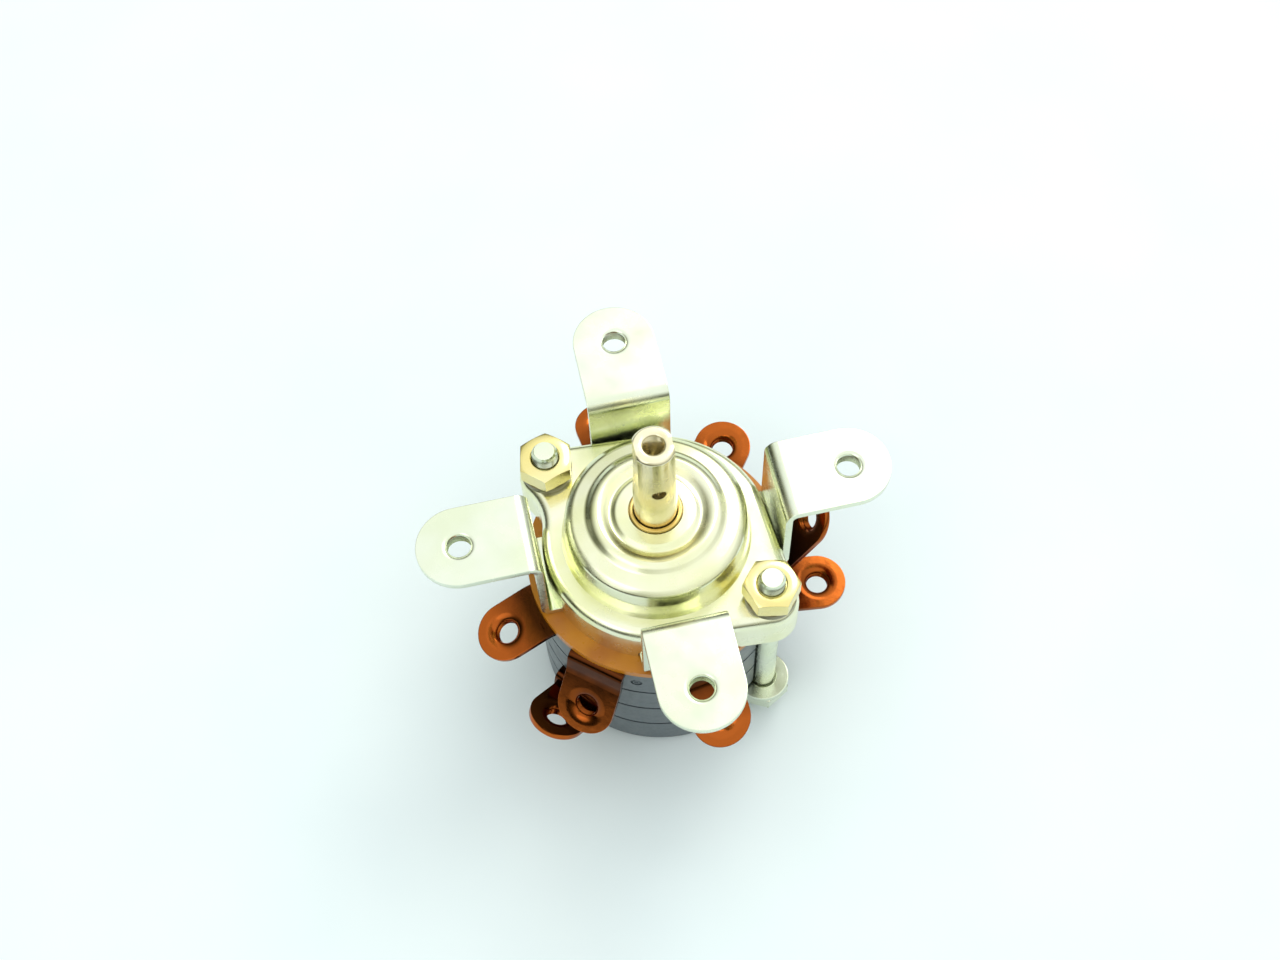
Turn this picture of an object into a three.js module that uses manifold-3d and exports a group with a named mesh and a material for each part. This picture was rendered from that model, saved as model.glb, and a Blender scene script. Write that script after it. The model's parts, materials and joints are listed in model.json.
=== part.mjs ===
// A four-deck rotary power switch with copper screw terminals, in millimetres.
// +Z runs up the shaft; the origin lies on the shaft's axis at the underside of the end strap.
// +X and +Y run through two of the four mounting ears. The terminals' directions are degrees
// from +X, counted anticlockwise seen from the knob end.

import * as THREE from 'three';
import { mergeVertices } from 'three/addons/utils/BufferGeometryUtils.js';
import Module from 'manifold-3d';

const wasm = await Module();
wasm.setup();

// ---------------------------------------------------------------- driving dimensions

const WAFER_RADIUS = 18.0;
const WAFER_HEIGHT = 6.15;
const TOP_WAFER_HEIGHT = 7.55;
const WAFER_FLOOR = 1.4;
const WAFER_WALL = 4.8;
const PLATE_OVERHANG = 0.7;
const PLATE_THICKNESS = 1.2;
const EAR_FACE_HEIGHT = 43.3;
const EAR_HOLE_RADIUS_FROM_AXIS = 27.2;
const EAR_WIDTH = 11.8;
const EAR_TAP_RADIUS = 1.7;
const EAR_COLLAR_WALL = 0.8;
const EAR_COLLAR_DEPTH = 1.2;
const HOLE_COUNTERSINK = 0.35;
const FRAME_SHEET = 1.1;
const FRAME_OUTER_BEND = 1.9;
const FRAME_FOOT_BEND = 1.6;
const COVER_INSIDE_WAFERS = 1.8;
const COVER_SHEET = 1.0;
const COVER_FLANGE_HEIGHT = 6.7;
const COVER_LOBE_RADIUS = 4.0;
const COVER_EDGE_ROUNDING = 0.7;
// The pressed dome, outer face. Near the shaft, as radius and height above the flange: a flat
// boss, a groove and a raised bead. Then the shoulder, as distance inside the dome's foot and
// height.
const DOME_BEAD = [
  [5.4, 6.9], [6.3, 6.3], [7.4, 7.1], [8.1, 7.25], [8.9, 6.9], [9.7, 6.15],
];
const DOME_SHOULDER = [[1.8, 5.8], [0.8, 4.9], [0.3, 1.0], [0, 0]];
const DOME_INSIDE_COVER = 2.9;
const BUSH_WALL = 0.7;
const BUSH_FLANGE = 1.9;
const BUSH_FLANGE_THICKNESS = 0.85;
const BUSH_STANDS_PROUD = 0.4;
const STUD_OUTSIDE_WAFERS = 0.55;
const STUD_ANGLES = { left: 135, right: -45 };
const STUD_THREAD_RADIUS = 2.0;
const STUD_SHANK_RADIUS = 1.75;
const STUD_PROTRUSION = 1.3;
const HEX_FLATS = 7.0;
const NUT_HEIGHT = 3.2;
const BOLT_HEAD_HEIGHT = 2.8;
const WASHER_THICKNESS = 1.0;
const WASHER_SPLIT = 0.5;
const HEX_CHAMFER = 0.35;
const THREAD_CHAMFER = 0.5;
const NUT_TURN = { left: -11, right: 19 };
const SHAFT_RADIUS = 3.0;
const SHAFT_ABOVE_EARS = 16.6;
const SHAFT_FLATS = 5.0;
const KNOB_FLAT_LENGTH = 7.1;
const KNOB_FLAT_RUNOUT = 5.5;
const CROSS_HOLE_RADIUS = 1.0;
const CROSS_HOLE_BELOW_TOP = 8.5;
const END_TAP_RADIUS = 1.45;
const END_TAP_DEPTH = 10;
const SHAFT_TIP_CHAMFER = 0.4;
const JOURNAL_RADIUS = 2.0;
const CLIP_RADIUS = 4.6;
const CLIP_THICKNESS = 0.6;
const CLIP_MOUTH = 3.4;
const CLIP_GROOVE_WIDTH = 0.8;
const SHAFT_END_COLLAR = 1.2;
const STRAP_WIDTH = 7.8;
const STRAP_SHEET = 1.1;
const STRAP_EAR_TOP = 6.3;
const STRAP_BEND_CHAMFER = 0.6;
const END_WAFER_POCKET_RADIUS = 8;
const LUG_WIDTH = 8.6;
const LUG_SHEET = 0.9;
const LUG_HOLE_RADIUS = 1.65;
const LUG_COLLAR_WALL = 0.75;
const LUG_COLLAR_DEPTH = 0.9;
const LUG_BEND_OUTSIDE = 0.9;
const LUG_GRIP = 2.2;
const TONGUE_WIDTH = 4.4;
const TONGUE_END_RADIUS = 9.5;
const HUB_RADIUS = 4.7;
const HUB_FLANGE_RADIUS = 7.6;
const HUB_FLANGE_THICKNESS = 0.9;
const CONTACT_RING_RADIUS = 7.4;
const CONTACT_BORE_RADIUS = 4.85;
const CONTACT_ARM_WIDTH = 4.6;
const CONTACT_ARM_ROOT = 5.5;
const CONTACT_SHEET = 0.8;
const CONTACT_SPRING = { radius: 6.1, wire: 0.2, turns: 2 };
const DETENTS = 8;
const DETENT_TRAVEL = 0.8;
const DETENT_SPRING = { radius: 1.4, wire: 0.3, turns: 3, stepsPerTurn: 8 };
const INDEX_RING_WALL = 1.5;
const INDEX_KEY_WIDTH = 4;
const INDEX_KEY_BACK = 2.4;
const CARRIER_HUB_WALL = 1.6;
const DOG_RADIUS = 6.6;
const DOG_SHEET = 1.2;
const DOG_FINGER = { inner: 5.6, outer: 6.4, width: 3 };
const DOG_HEADROOM = 1.7;
const SNAP_SPRING = { radius: 8.2, wire: 0.5, turns: 2, stepsPerTurn: 12 };

// clearances
const RUNNING = 0.1;
const KEYED = 0.12;
const SLOT_SIDE = 0.2;
const CLEAR = 0.3;
const BOLT_CLEARANCE = 0.15;
const BALL_CLEARANCE = 0.12;
const HAIRLINE = 0.05;

// how far cutting bodies run past the faces they open
const PAST = 1;

// ---------------------------------------------------------------- worked-out radii and heights

const plateRadius = WAFER_RADIUS + PLATE_OVERHANG;
const studCircleRadius = WAFER_RADIUS + STUD_OUTSIDE_WAFERS;
const coverRadius = WAFER_RADIUS - COVER_INSIDE_WAFERS;
const domeFootRadius = coverRadius - DOME_INSIDE_COVER;
const domeOutline = [
  ...DOME_BEAD, ...DOME_SHOULDER.map(([inward, z]) => [domeFootRadius - inward, z]),
];
const lugBendRadius = WAFER_RADIUS + LUG_BEND_OUTSIDE;
const tongueShoulderRadius = WAFER_RADIUS - LUG_GRIP;

const strapTop = STRAP_SHEET;
const deckBottom = (fromBelow) => strapTop + fromBelow * WAFER_HEIGHT;
const plateBottom = deckBottom(3) + TOP_WAFER_HEIGHT;
const plateTop = plateBottom + PLATE_THICKNESS;
const crossTop = plateTop + FRAME_SHEET;
const flangeTop = plateTop + COVER_FLANGE_HEIGHT;
const domeTop = flangeTop + domeOutline[0][1];
const nutBottom = flangeTop + WASHER_THICKNESS;
const nutTop = nutBottom + NUT_HEIGHT;
const shaftTop = EAR_FACE_HEIGHT + SHAFT_ABOVE_EARS;
const cavityRadius = WAFER_RADIUS - WAFER_WALL;
const ringTop = flangeTop - COVER_SHEET - RUNNING;
const ballHeight = (crossTop + ringTop) / 2;
const ballRadius = (ringTop - crossTop) / 2 - RUNNING;
const ringOuter = coverRadius - COVER_SHEET - CLEAR;
const ballSeat = ringOuter - INDEX_RING_WALL - DETENT_TRAVEL - ballRadius;
const landRadius = ballSeat + ballRadius + SLOT_SIDE;
const dogTop = domeTop - COVER_SHEET - DOG_HEADROOM;
const hexCorner = HEX_FLATS / Math.sqrt(3);
const strapLegOuter = studCircleRadius - hexCorner - CLEAR;
const strapLegInner = strapLegOuter - STRAP_SHEET;

// The decks, from the plate down: the terminals clamped on top of each one. A lug leaves its
// slot level, may drop down a short knee, and its tab then slopes down (or up, if negative).
const DECKS = [
  { name: 'wafer_1', bottom: deckBottom(3), top: plateBottom, terminals: [
    { name: 'terminal_1', angle: -166.5, slope: 19, reach: 5.4 },
    { name: 'terminal_2', angle: -130, knee: 3.0, kneeSlope: 78, slope: 54, reach: 4.9 },
    { name: 'terminal_3', angle: -81.2, knee: 2.0, kneeSlope: 70, slope: 35, reach: 5.5 },
    { name: 'terminal_4', angle: 96.9, slope: 11, reach: 5.5 },
  ] },
  { name: 'wafer_2', bottom: deckBottom(2), top: deckBottom(3), terminals: [
    { name: 'terminal_5', angle: 4.5, slope: -58, reach: 8.0 },
    { name: 'terminal_6', angle: 53.5, slope: -3, reach: 5.6 },
  ] },
  { name: 'wafer_3', bottom: deckBottom(1), top: deckBottom(2), terminals: [
    { name: 'terminal_7', angle: -7, slope: 0, reach: 5.2 },
    { name: 'terminal_8', angle: -141, knee: 3.0, kneeSlope: 78, slope: -31, reach: 5.1 },
  ] },
];

// ---------------------------------------------------------------- materials

const finish = (color, roughness, metalness) =>
  new THREE.MeshStandardMaterial({ color, roughness, metalness });

const zinc = finish(0xd9dcb4, 0.32, 1.0);
const yellowZinc = finish(0xe6dc96, 0.35, 1.0);
const steel = finish(0xb9bbb6, 0.3, 1.0);
const springSteel = finish(0x8d9092, 0.35, 1.0);
const copper = finish(0xc8652e, 0.3, 1.0);
const brass = finish(0xc9a554, 0.35, 1.0);
const phenolicGrey = finish(0x5d666b, 0.55, 0.0);
const phenolicBrown = finish(0xb8691d, 0.5, 0.0);
const phenolicBlack = finish(0x2a2624, 0.5, 0.0);

// ---------------------------------------------------------------- solids

const radians = THREE.MathUtils.degToRad;
const polar = (radius, degrees) =>
  [radius * Math.cos(radians(degrees)), radius * Math.sin(radians(degrees))];

function signedVolume(positions, index) {
  const [a, b, c] = [new THREE.Vector3(), new THREE.Vector3(), new THREE.Vector3()];
  let sum = 0;
  for (let i = 0; i < index.length; i += 3) {
    a.fromArray(positions, 3 * index[i]);
    b.fromArray(positions, 3 * index[i + 1]);
    c.fromArray(positions, 3 * index[i + 2]);
    sum += a.dot(b.cross(c));
  }
  return sum;
}

// A closed three.js geometry as a solid, its faces turned outwards.
function solid(geometry) {
  geometry.deleteAttribute('normal');
  geometry.deleteAttribute('uv');
  const merged = mergeVertices(geometry, 1e-4);
  const vertProperties = new Float32Array(merged.attributes.position.array);
  const corners = Array.from(merged.index.array);
  const triangles = [];
  for (let i = 0; i < corners.length; i += 3) {
    const [a, b, c] = corners.slice(i, i + 3);
    if (a !== b && b !== c && c !== a) triangles.push(a, b, c);
  }
  if (signedVolume(vertProperties, triangles) < 0) triangles.reverse();
  const triVerts = new Uint32Array(triangles);
  return new wasm.Manifold(new wasm.Mesh({ numProp: 3, vertProperties, triVerts }));
}

const cylinder = (radius, bottom, top, [x, y] = [0, 0], sides = 20) =>
  solid(new THREE.CylinderGeometry(radius, radius, top - bottom, sides)
    .rotateX(Math.PI / 2).translate(x, y, (bottom + top) / 2));

const prism = (shape, bottom, top, curveSegments = 8) =>
  solid(new THREE.ExtrudeGeometry(shape, { depth: top - bottom, bevelEnabled: false, curveSegments })
    .translate(0, 0, bottom));

const turned = (profile, sides = 32) =>
  solid(new THREE.LatheGeometry(profile.map(([r, z]) => new THREE.Vector2(r, z)), sides)
    .rotateX(Math.PI / 2));

const block = (xMin, xMax, yMin, yMax, zMin, zMax) =>
  solid(new THREE.BoxGeometry(xMax - xMin, yMax - yMin, zMax - zMin)
    .translate((xMin + xMax) / 2, (yMin + yMax) / 2, (zMin + zMax) / 2));

// A flat outline in the X-Z plane, extruded across Y over the given width.
const sideProfile = (shape, width, curveSegments = 3) =>
  solid(new THREE.ExtrudeGeometry(shape, { depth: width, bevelEnabled: false, curveSegments })
    .rotateX(Math.PI / 2).translate(0, width / 2, 0));

function coil({ radius, wire, bottom, turns, pitch, sides = 6, stepsPerTurn = 9 }) {
  const path = new THREE.CatmullRomCurve3(Array.from(
    { length: Math.round(turns * stepsPerTurn) + 1 },
    (_, i) => {
      const turn = i / stepsPerTurn;
      const angle = 2 * Math.PI * turn;
      return new THREE.Vector3(
        radius * Math.cos(angle), radius * Math.sin(angle), bottom + wire + turn * pitch);
    }));
  const section = new THREE.Shape().absarc(0, 0, wire, 0, 2 * Math.PI);
  return solid(new THREE.ExtrudeGeometry(section, {
    extrudePath: path, steps: Math.round(turns * stepsPerTurn), curveSegments: sides / 2,
  }));
}

// The outline of a round plate drawn out into a lobe around each stud.
function lobedOutline(radius, lobeRadius) {
  const shape = new THREE.Shape();
  const spread = Math.acos((radius - lobeRadius) / studCircleRadius);
  for (const degrees of [STUD_ANGLES.right, STUD_ANGLES.left]) {
    const middle = radians(degrees);
    const [x, y] = polar(studCircleRadius, degrees);
    shape.absarc(x, y, lobeRadius, middle - spread, middle + spread);
    shape.absarc(0, 0, radius, middle + spread, middle + Math.PI - spread);
  }
  return shape;
}

// A round bar with two flats facing +X and -X, as an outline.
function doubleFlat(radius, acrossFlats) {
  const edge = Math.acos(acrossFlats / 2 / radius);
  return new THREE.Shape()
    .absarc(0, 0, radius, edge, Math.PI - edge)
    .absarc(0, 0, radius, Math.PI + edge, 2 * Math.PI - edge);
}

const keyedHole = (bottom, top) =>
  prism(doubleFlat(SHAFT_RADIUS + KEYED, SHAFT_FLATS + 2 * KEYED), bottom, top, 8);

const studHoles = (radius, bottom, top) =>
  Object.values(STUD_ANGLES).map((degrees) =>
    cylinder(radius, bottom, top, polar(studCircleRadius, degrees), 16));

const cut = (body, ...tools) => tools.reduce((rest, tool) => rest.subtract(tool), body);
const join = (body, ...more) => more.reduce((sum, piece) => sum.add(piece), body);

// ---------------------------------------------------------------- the assembly

const assembly = new THREE.Group();
assembly.name = 'rotary_power_switch';

function place(name, body, material) {
  const data = body.getMesh();
  const geometry = new THREE.BufferGeometry();
  geometry.setAttribute('position', new THREE.BufferAttribute(data.vertProperties, 3));
  geometry.setIndex(new THREE.BufferAttribute(data.triVerts, 1));
  geometry.computeVertexNormals();
  const mesh = new THREE.Mesh(geometry, material);
  mesh.name = name;
  assembly.add(mesh);
  return mesh;
}

// ---------------------------------------------------------------- cover and bush

// The dome's section, drawn in from its outer face by the given amount and closed at the axis.
function domeProfile(inset) {
  const outer = domeOutline.map(([r, z]) => new THREE.Vector2(r, flangeTop + z));
  const points = [[0, outer[0].y - inset]];
  outer.forEach((point, i) => {
    const before = outer[Math.max(i - 1, 0)];
    const after = outer[Math.min(i + 1, outer.length - 1)];
    const along = after.clone().sub(before).normalize();
    points.push([point.x + along.y * inset, point.y - along.x * inset]);
  });
  const floor = flangeTop - 2 * COVER_SHEET;
  const foot = points[points.length - 1][0];
  points.push([foot, floor], [0, floor]);
  return points;
}

const lobedPrism = (inset, bottom, top) =>
  prism(lobedOutline(coverRadius - inset, COVER_LOBE_RADIUS - inset), bottom, top, 5);

function detentCover() {
  const innerTop = flangeTop - COVER_SHEET;
  const edge = COVER_EDGE_ROUNDING;
  const outside = join(
    lobedPrism(0, plateTop, flangeTop - edge),
    lobedPrism(0.35 * edge, flangeTop - edge, flangeTop - 0.4 * edge),
    lobedPrism(edge, flangeTop - 0.4 * edge, flangeTop),
    turned(domeProfile(0)));
  const inside = join(
    lobedPrism(COVER_SHEET, plateTop - PAST, innerTop), turned(domeProfile(COVER_SHEET)));
  const half = EAR_WIDTH / 2 + SLOT_SIDE;
  const reach = coverRadius + PAST;
  const notchTop = crossTop + RUNNING;
  return cut(outside, inside,
    block(-reach, reach, -half, half, plateTop - PAST, notchTop),
    block(-half, half, -reach, reach, plateTop - PAST, notchTop),
    cylinder(SHAFT_RADIUS + BUSH_WALL + RUNNING, innerTop, domeTop + PAST),
    ...studHoles(STUD_THREAD_RADIUS + BOLT_CLEARANCE, innerTop - PAST, flangeTop + PAST));
}

function shaftBush() {
  const flangeFace = domeTop - COVER_SHEET - HAIRLINE;
  const bottom = flangeFace - BUSH_FLANGE_THICKNESS;
  const top = domeTop + BUSH_STANDS_PROUD;
  return cut(
    join(cylinder(SHAFT_RADIUS + BUSH_WALL, bottom, top),
      cylinder(SHAFT_RADIUS + BUSH_FLANGE, bottom, flangeFace)),
    cylinder(SHAFT_RADIUS + RUNNING, bottom - PAST, top + PAST));
}

place('detent_cover', detentCover(), zinc);
place('shaft_bush', shaftBush(), brass);

// ---------------------------------------------------------------- mounting frame

function bentLeg() {
  const outerFace = coverRadius + 2 * CLEAR + FRAME_SHEET;
  const innerFace = outerFace - FRAME_SHEET;
  const earBottom = EAR_FACE_HEIGHT - FRAME_SHEET;
  const tip = EAR_HOLE_RADIUS_FROM_AXIS + EAR_WIDTH / 2;
  const quarter = Math.PI / 2;
  const [topX, topZ] = [innerFace + FRAME_OUTER_BEND, EAR_FACE_HEIGHT - FRAME_OUTER_BEND];
  const [footX, footZ] = [outerFace - FRAME_FOOT_BEND, plateTop + FRAME_FOOT_BEND];
  const shape = new THREE.Shape()
    .moveTo(ringOuter / 2, plateTop)
    .lineTo(footX, plateTop)
    .absarc(footX, footZ, FRAME_FOOT_BEND, -quarter, 0)
    .absarc(topX, topZ, FRAME_OUTER_BEND - FRAME_SHEET, 2 * quarter, quarter, true)
    .lineTo(tip, earBottom)
    .lineTo(tip, EAR_FACE_HEIGHT)
    .absarc(topX, topZ, FRAME_OUTER_BEND, quarter, 2 * quarter)
    .absarc(footX, footZ, FRAME_FOOT_BEND - FRAME_SHEET, 0, -quarter, true)
    .lineTo(ringOuter / 2, crossTop);
  const plan = new THREE.Shape()
    .moveTo(0, -EAR_WIDTH / 2)
    .lineTo(EAR_HOLE_RADIUS_FROM_AXIS, -EAR_WIDTH / 2)
    .absarc(EAR_HOLE_RADIUS_FROM_AXIS, 0, EAR_WIDTH / 2, -quarter, quarter)
    .lineTo(0, EAR_WIDTH / 2);
  const strip = sideProfile(shape, EAR_WIDTH)
    .intersect(prism(plan, 0, EAR_FACE_HEIGHT + PAST, 7));
  const centre = [EAR_HOLE_RADIUS_FROM_AXIS, 0];
  const collarBottom = earBottom - EAR_COLLAR_DEPTH;
  const ring = (radius, bottom, top) => cylinder(radius, bottom, top, centre, 14);
  return cut(
    join(strip, ring(EAR_TAP_RADIUS + EAR_COLLAR_WALL, collarBottom, earBottom + HAIRLINE)),
    ring(EAR_TAP_RADIUS, collarBottom - PAST, EAR_FACE_HEIGHT + PAST),
    ring(EAR_TAP_RADIUS + HOLE_COUNTERSINK, EAR_FACE_HEIGHT - HOLE_COUNTERSINK,
      EAR_FACE_HEIGHT + PAST));
}

function mountingFrame() {
  const leg = bentLeg();
  const disc = cylinder(ringOuter, plateTop, crossTop, [0, 0], 40);
  const legs = [0, 90, 180, 270].map((degrees) => leg.rotate([0, 0, degrees]));
  return cut(join(disc, ...legs),
    cylinder(SHAFT_RADIUS + CLEAR, plateTop - PAST, crossTop + PAST));
}

place('mounting_frame', mountingFrame(), zinc);

// ---------------------------------------------------------------- shaft

const clipBottom = deckBottom(1) - SHAFT_END_COLLAR + RUNNING;

function shaftBody() {
  const tail = strapTop + CLEAR;
  const knobFlat = SHAFT_FLATS / 2;
  const runoutTop = shaftTop - KNOB_FLAT_LENGTH;
  const runout = new THREE.Shape()
    .moveTo(knobFlat, shaftTop + PAST)
    .lineTo(knobFlat, runoutTop)
    .quadraticCurveTo(knobFlat, runoutTop - KNOB_FLAT_RUNOUT / 2,
      SHAFT_RADIUS + HAIRLINE, runoutTop - KNOB_FLAT_RUNOUT)
    .lineTo(SHAFT_RADIUS + PAST, shaftTop + PAST);
  const flat = sideProfile(runout, 4 * SHAFT_RADIUS, 5);
  const bar = turned([
    [0, dogTop], [SHAFT_RADIUS, dogTop], [SHAFT_RADIUS, shaftTop - SHAFT_TIP_CHAMFER],
    [SHAFT_RADIUS - SHAFT_TIP_CHAMFER, shaftTop], [0, shaftTop],
  ], 28);
  const profile = doubleFlat(SHAFT_RADIUS, SHAFT_FLATS);
  const grooveTop = clipBottom + CLIP_GROOVE_WIDTH;
  const driven = prism(profile, grooveTop, dogTop + RUNNING);
  const collar = prism(profile, clipBottom - SHAFT_END_COLLAR, clipBottom);
  const journal = cylinder(JOURNAL_RADIUS, tail, grooveTop + HAIRLINE, [0, 0], 24);
  const crossHole = solid(
    new THREE.CylinderGeometry(CROSS_HOLE_RADIUS, CROSS_HOLE_RADIUS, 4 * SHAFT_RADIUS, 16))
    .translate([0, 0, shaftTop - CROSS_HOLE_BELOW_TOP]);
  const tapEnd = shaftTop - END_TAP_DEPTH;
  const mouth = END_TAP_RADIUS + HOLE_COUNTERSINK;
  const tap = turned([
    [0, tapEnd], [END_TAP_RADIUS, tapEnd + END_TAP_RADIUS / 2],
    [END_TAP_RADIUS, shaftTop - HOLE_COUNTERSINK], [mouth, shaftTop], [mouth, shaftTop + PAST],
    [0, shaftTop + PAST],
  ], 20);
  return cut(join(bar, driven, collar, journal), flat, flat.rotate([0, 0, 180]), crossHole, tap);
}

function retainingClip() {
  const [bottom, top] = [clipBottom + RUNNING, clipBottom + RUNNING + CLIP_THICKNESS];
  const half = CLIP_MOUTH / 2;
  return cut(cylinder(CLIP_RADIUS, bottom, top),
    cylinder(JOURNAL_RADIUS + RUNNING, bottom - PAST, top + PAST),
    block(0, CLIP_RADIUS + PAST, -half, half, bottom - PAST, top + PAST));
}

place('shaft', shaftBody(), steel);
place('retaining_clip', retainingClip(), springSteel);

// ---------------------------------------------------------------- studs, nuts and washers

const hexagon = (bottom, top, turn, centre) => {
  const bar = solid(new THREE.CylinderGeometry(hexCorner, hexCorner, top - bottom, 6)
    .rotateX(Math.PI / 2).rotateZ(radians(turn)).translate(...centre, (bottom + top) / 2));
  const flats = HEX_FLATS / 2 + HAIRLINE;
  const corners = hexCorner + HAIRLINE;
  const chamfer = turned([
    [0, bottom], [flats, bottom], [corners, bottom + HEX_CHAMFER],
    [corners, top - HEX_CHAMFER], [flats, top], [0, top],
  ], 18);
  return bar.intersect(chamfer.translate([...centre, 0]));
};

for (const [side, degrees] of Object.entries(STUD_ANGLES)) {
  const centre = polar(studCircleRadius, degrees);
  const headTop = STRAP_EAR_TOP - STRAP_SHEET;
  const tip = nutTop + STUD_PROTRUSION;
  const threaded = turned([
    [0, plateTop], [STUD_THREAD_RADIUS, plateTop], [STUD_THREAD_RADIUS, tip - THREAD_CHAMFER],
    [STUD_THREAD_RADIUS - THREAD_CHAMFER, tip], [0, tip],
  ], 20).translate([...centre, 0]);
  const shank = cylinder(STUD_SHANK_RADIUS, headTop - HAIRLINE, plateTop + HAIRLINE, centre, 20);
  const head = hexagon(headTop - BOLT_HEAD_HEIGHT, headTop, 0, centre);
  place(`stud_bolt_${side}`, join(head, shank, threaded), zinc);

  const bore = cylinder(STUD_THREAD_RADIUS + HAIRLINE, nutBottom - PAST, nutTop + PAST, centre, 20);
  const nut = cut(hexagon(nutBottom, nutTop, NUT_TURN[side], centre), bore);
  place(`hex_nut_${side}`, nut, yellowZinc);

  const [below, above] = [flangeTop - PAST, nutBottom + PAST];
  const split = block(0, HEX_FLATS, -WASHER_SPLIT / 2, WASHER_SPLIT / 2, below, above);
  place(`spring_washer_${side}`, cut(
    cylinder(HEX_FLATS / 2 + RUNNING, flangeTop, nutBottom, centre),
    cylinder(STUD_THREAD_RADIUS + BOLT_CLEARANCE, below, above, centre, 20),
    split.rotate([0, 0, degrees + 35]).translate([...centre, 0])), springSteel);
}

// ---------------------------------------------------------------- insulating plate and wafers

place('insulating_plate', cut(
  cylinder(plateRadius, plateBottom, plateTop, [0, 0], 48),
  cylinder(SHAFT_RADIUS + CLEAR, plateBottom - PAST, plateTop + PAST),
  ...studHoles(STUD_SHANK_RADIUS + CLEAR, plateBottom - PAST, plateTop + PAST)), phenolicBrown);

// The plan of a terminal inside the stack: a narrow tongue, then the full-width strip.
const stripParts = (side, bottom, top, tongueEnd, outEnd) => {
  const [tongue, strip] = [TONGUE_WIDTH / 2 + side, LUG_WIDTH / 2 + side];
  return join(
    block(tongueEnd, tongueShoulderRadius + CLEAR, -tongue, tongue, bottom, top),
    block(tongueShoulderRadius - side, outEnd, -strip, strip, bottom, top));
};

function wafer({ bottom, top, terminals }) {
  const slots = terminals.map(({ angle }) =>
    stripParts(SLOT_SIDE, top - LUG_SHEET - HAIRLINE, top + PAST,
      TONGUE_END_RADIUS, WAFER_RADIUS + PAST).rotate([0, 0, angle]));
  return cut(
    cylinder(WAFER_RADIUS, bottom, top, [0, 0], 48),
    cylinder(cavityRadius, bottom + WAFER_FLOOR, top + PAST, [0, 0], 28),
    cylinder(SHAFT_RADIUS + CLEAR, bottom - PAST, top + PAST),
    ...studHoles(STUD_SHANK_RADIUS + CLEAR, bottom - PAST, top + PAST),
    ...slots);
}

function endWafer() {
  const [bottom, top] = [strapTop, deckBottom(1)];
  const half = STRAP_WIDTH / 2 + CLEAR;
  const notch = block(strapLegInner - CLEAR, WAFER_RADIUS + PAST, -half, half,
    bottom - PAST, top + PAST);
  return cut(
    cylinder(WAFER_RADIUS, bottom, top, [0, 0], 48),
    cylinder(END_WAFER_POCKET_RADIUS, bottom + WAFER_FLOOR, top + PAST),
    cylinder(JOURNAL_RADIUS + RUNNING, bottom - PAST, top),
    ...Object.values(STUD_ANGLES).map((degrees) => notch.rotate([0, 0, degrees])));
}

DECKS.forEach((deck) => place(deck.name, wafer(deck), phenolicGrey));
place('wafer_4', endWafer(), phenolicGrey);

// ---------------------------------------------------------------- end strap

function endStrap() {
  const earReach = studCircleRadius + STRAP_WIDTH / 2;
  const earBottom = STRAP_EAR_TOP - STRAP_SHEET;
  const bend = STRAP_BEND_CHAMFER;
  const half = new THREE.Shape()
    .moveTo(-HAIRLINE, 0)
    .lineTo(strapLegOuter - bend, 0)
    .lineTo(strapLegOuter, bend)
    .lineTo(strapLegOuter, earBottom)
    .lineTo(earReach, earBottom)
    .lineTo(earReach, STRAP_EAR_TOP)
    .lineTo(strapLegInner + bend, STRAP_EAR_TOP)
    .lineTo(strapLegInner, STRAP_EAR_TOP - bend)
    .lineTo(strapLegInner, STRAP_SHEET)
    .lineTo(-HAIRLINE, STRAP_SHEET);
  const plan = new THREE.Shape()
    .moveTo(-PAST, -STRAP_WIDTH / 2)
    .lineTo(studCircleRadius, -STRAP_WIDTH / 2)
    .absarc(studCircleRadius, 0, STRAP_WIDTH / 2, -Math.PI / 2, Math.PI / 2)
    .lineTo(-PAST, STRAP_WIDTH / 2);
  const hole = cylinder(STUD_SHANK_RADIUS + BOLT_CLEARANCE, 0, STRAP_EAR_TOP + PAST,
    [studCircleRadius, 0], 20);
  const arm = cut(
    sideProfile(half, STRAP_WIDTH).intersect(prism(plan, -PAST, STRAP_EAR_TOP + PAST)), hole);
  return join(arm, arm.rotate([0, 0, 180])).rotate([0, 0, STUD_ANGLES.left]);
}

place('end_strap', endStrap(), zinc);

// ---------------------------------------------------------------- terminals

// One tab: a strip with a round end and a tapped, collared hole, lying along +X from x = 0,
// with its upper face at z = 0.
function tab(reach) {
  const half = LUG_WIDTH / 2;
  const outline = new THREE.Shape()
    .moveTo(0, -half)
    .lineTo(reach, -half)
    .absarc(reach, 0, half, -Math.PI / 2, Math.PI / 2)
    .lineTo(0, half);
  const ring = (radius, bottom, top) => cylinder(radius, bottom, top, [reach, 0], 12);
  const collarBottom = -LUG_SHEET - LUG_COLLAR_DEPTH;
  return cut(
    join(prism(outline, -LUG_SHEET, 0, 5),
      ring(LUG_HOLE_RADIUS + LUG_COLLAR_WALL, collarBottom, -LUG_SHEET / 2)),
    ring(LUG_HOLE_RADIUS, collarBottom - PAST, PAST),
    ring(LUG_HOLE_RADIUS + HOLE_COUNTERSINK, -HOLE_COUNTERSINK, PAST));
}

function bendRoll(radius, x, z) {
  return solid(new THREE.CylinderGeometry(radius, radius, LUG_WIDTH, 8)).translate([x, 0, z]);
}

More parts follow.
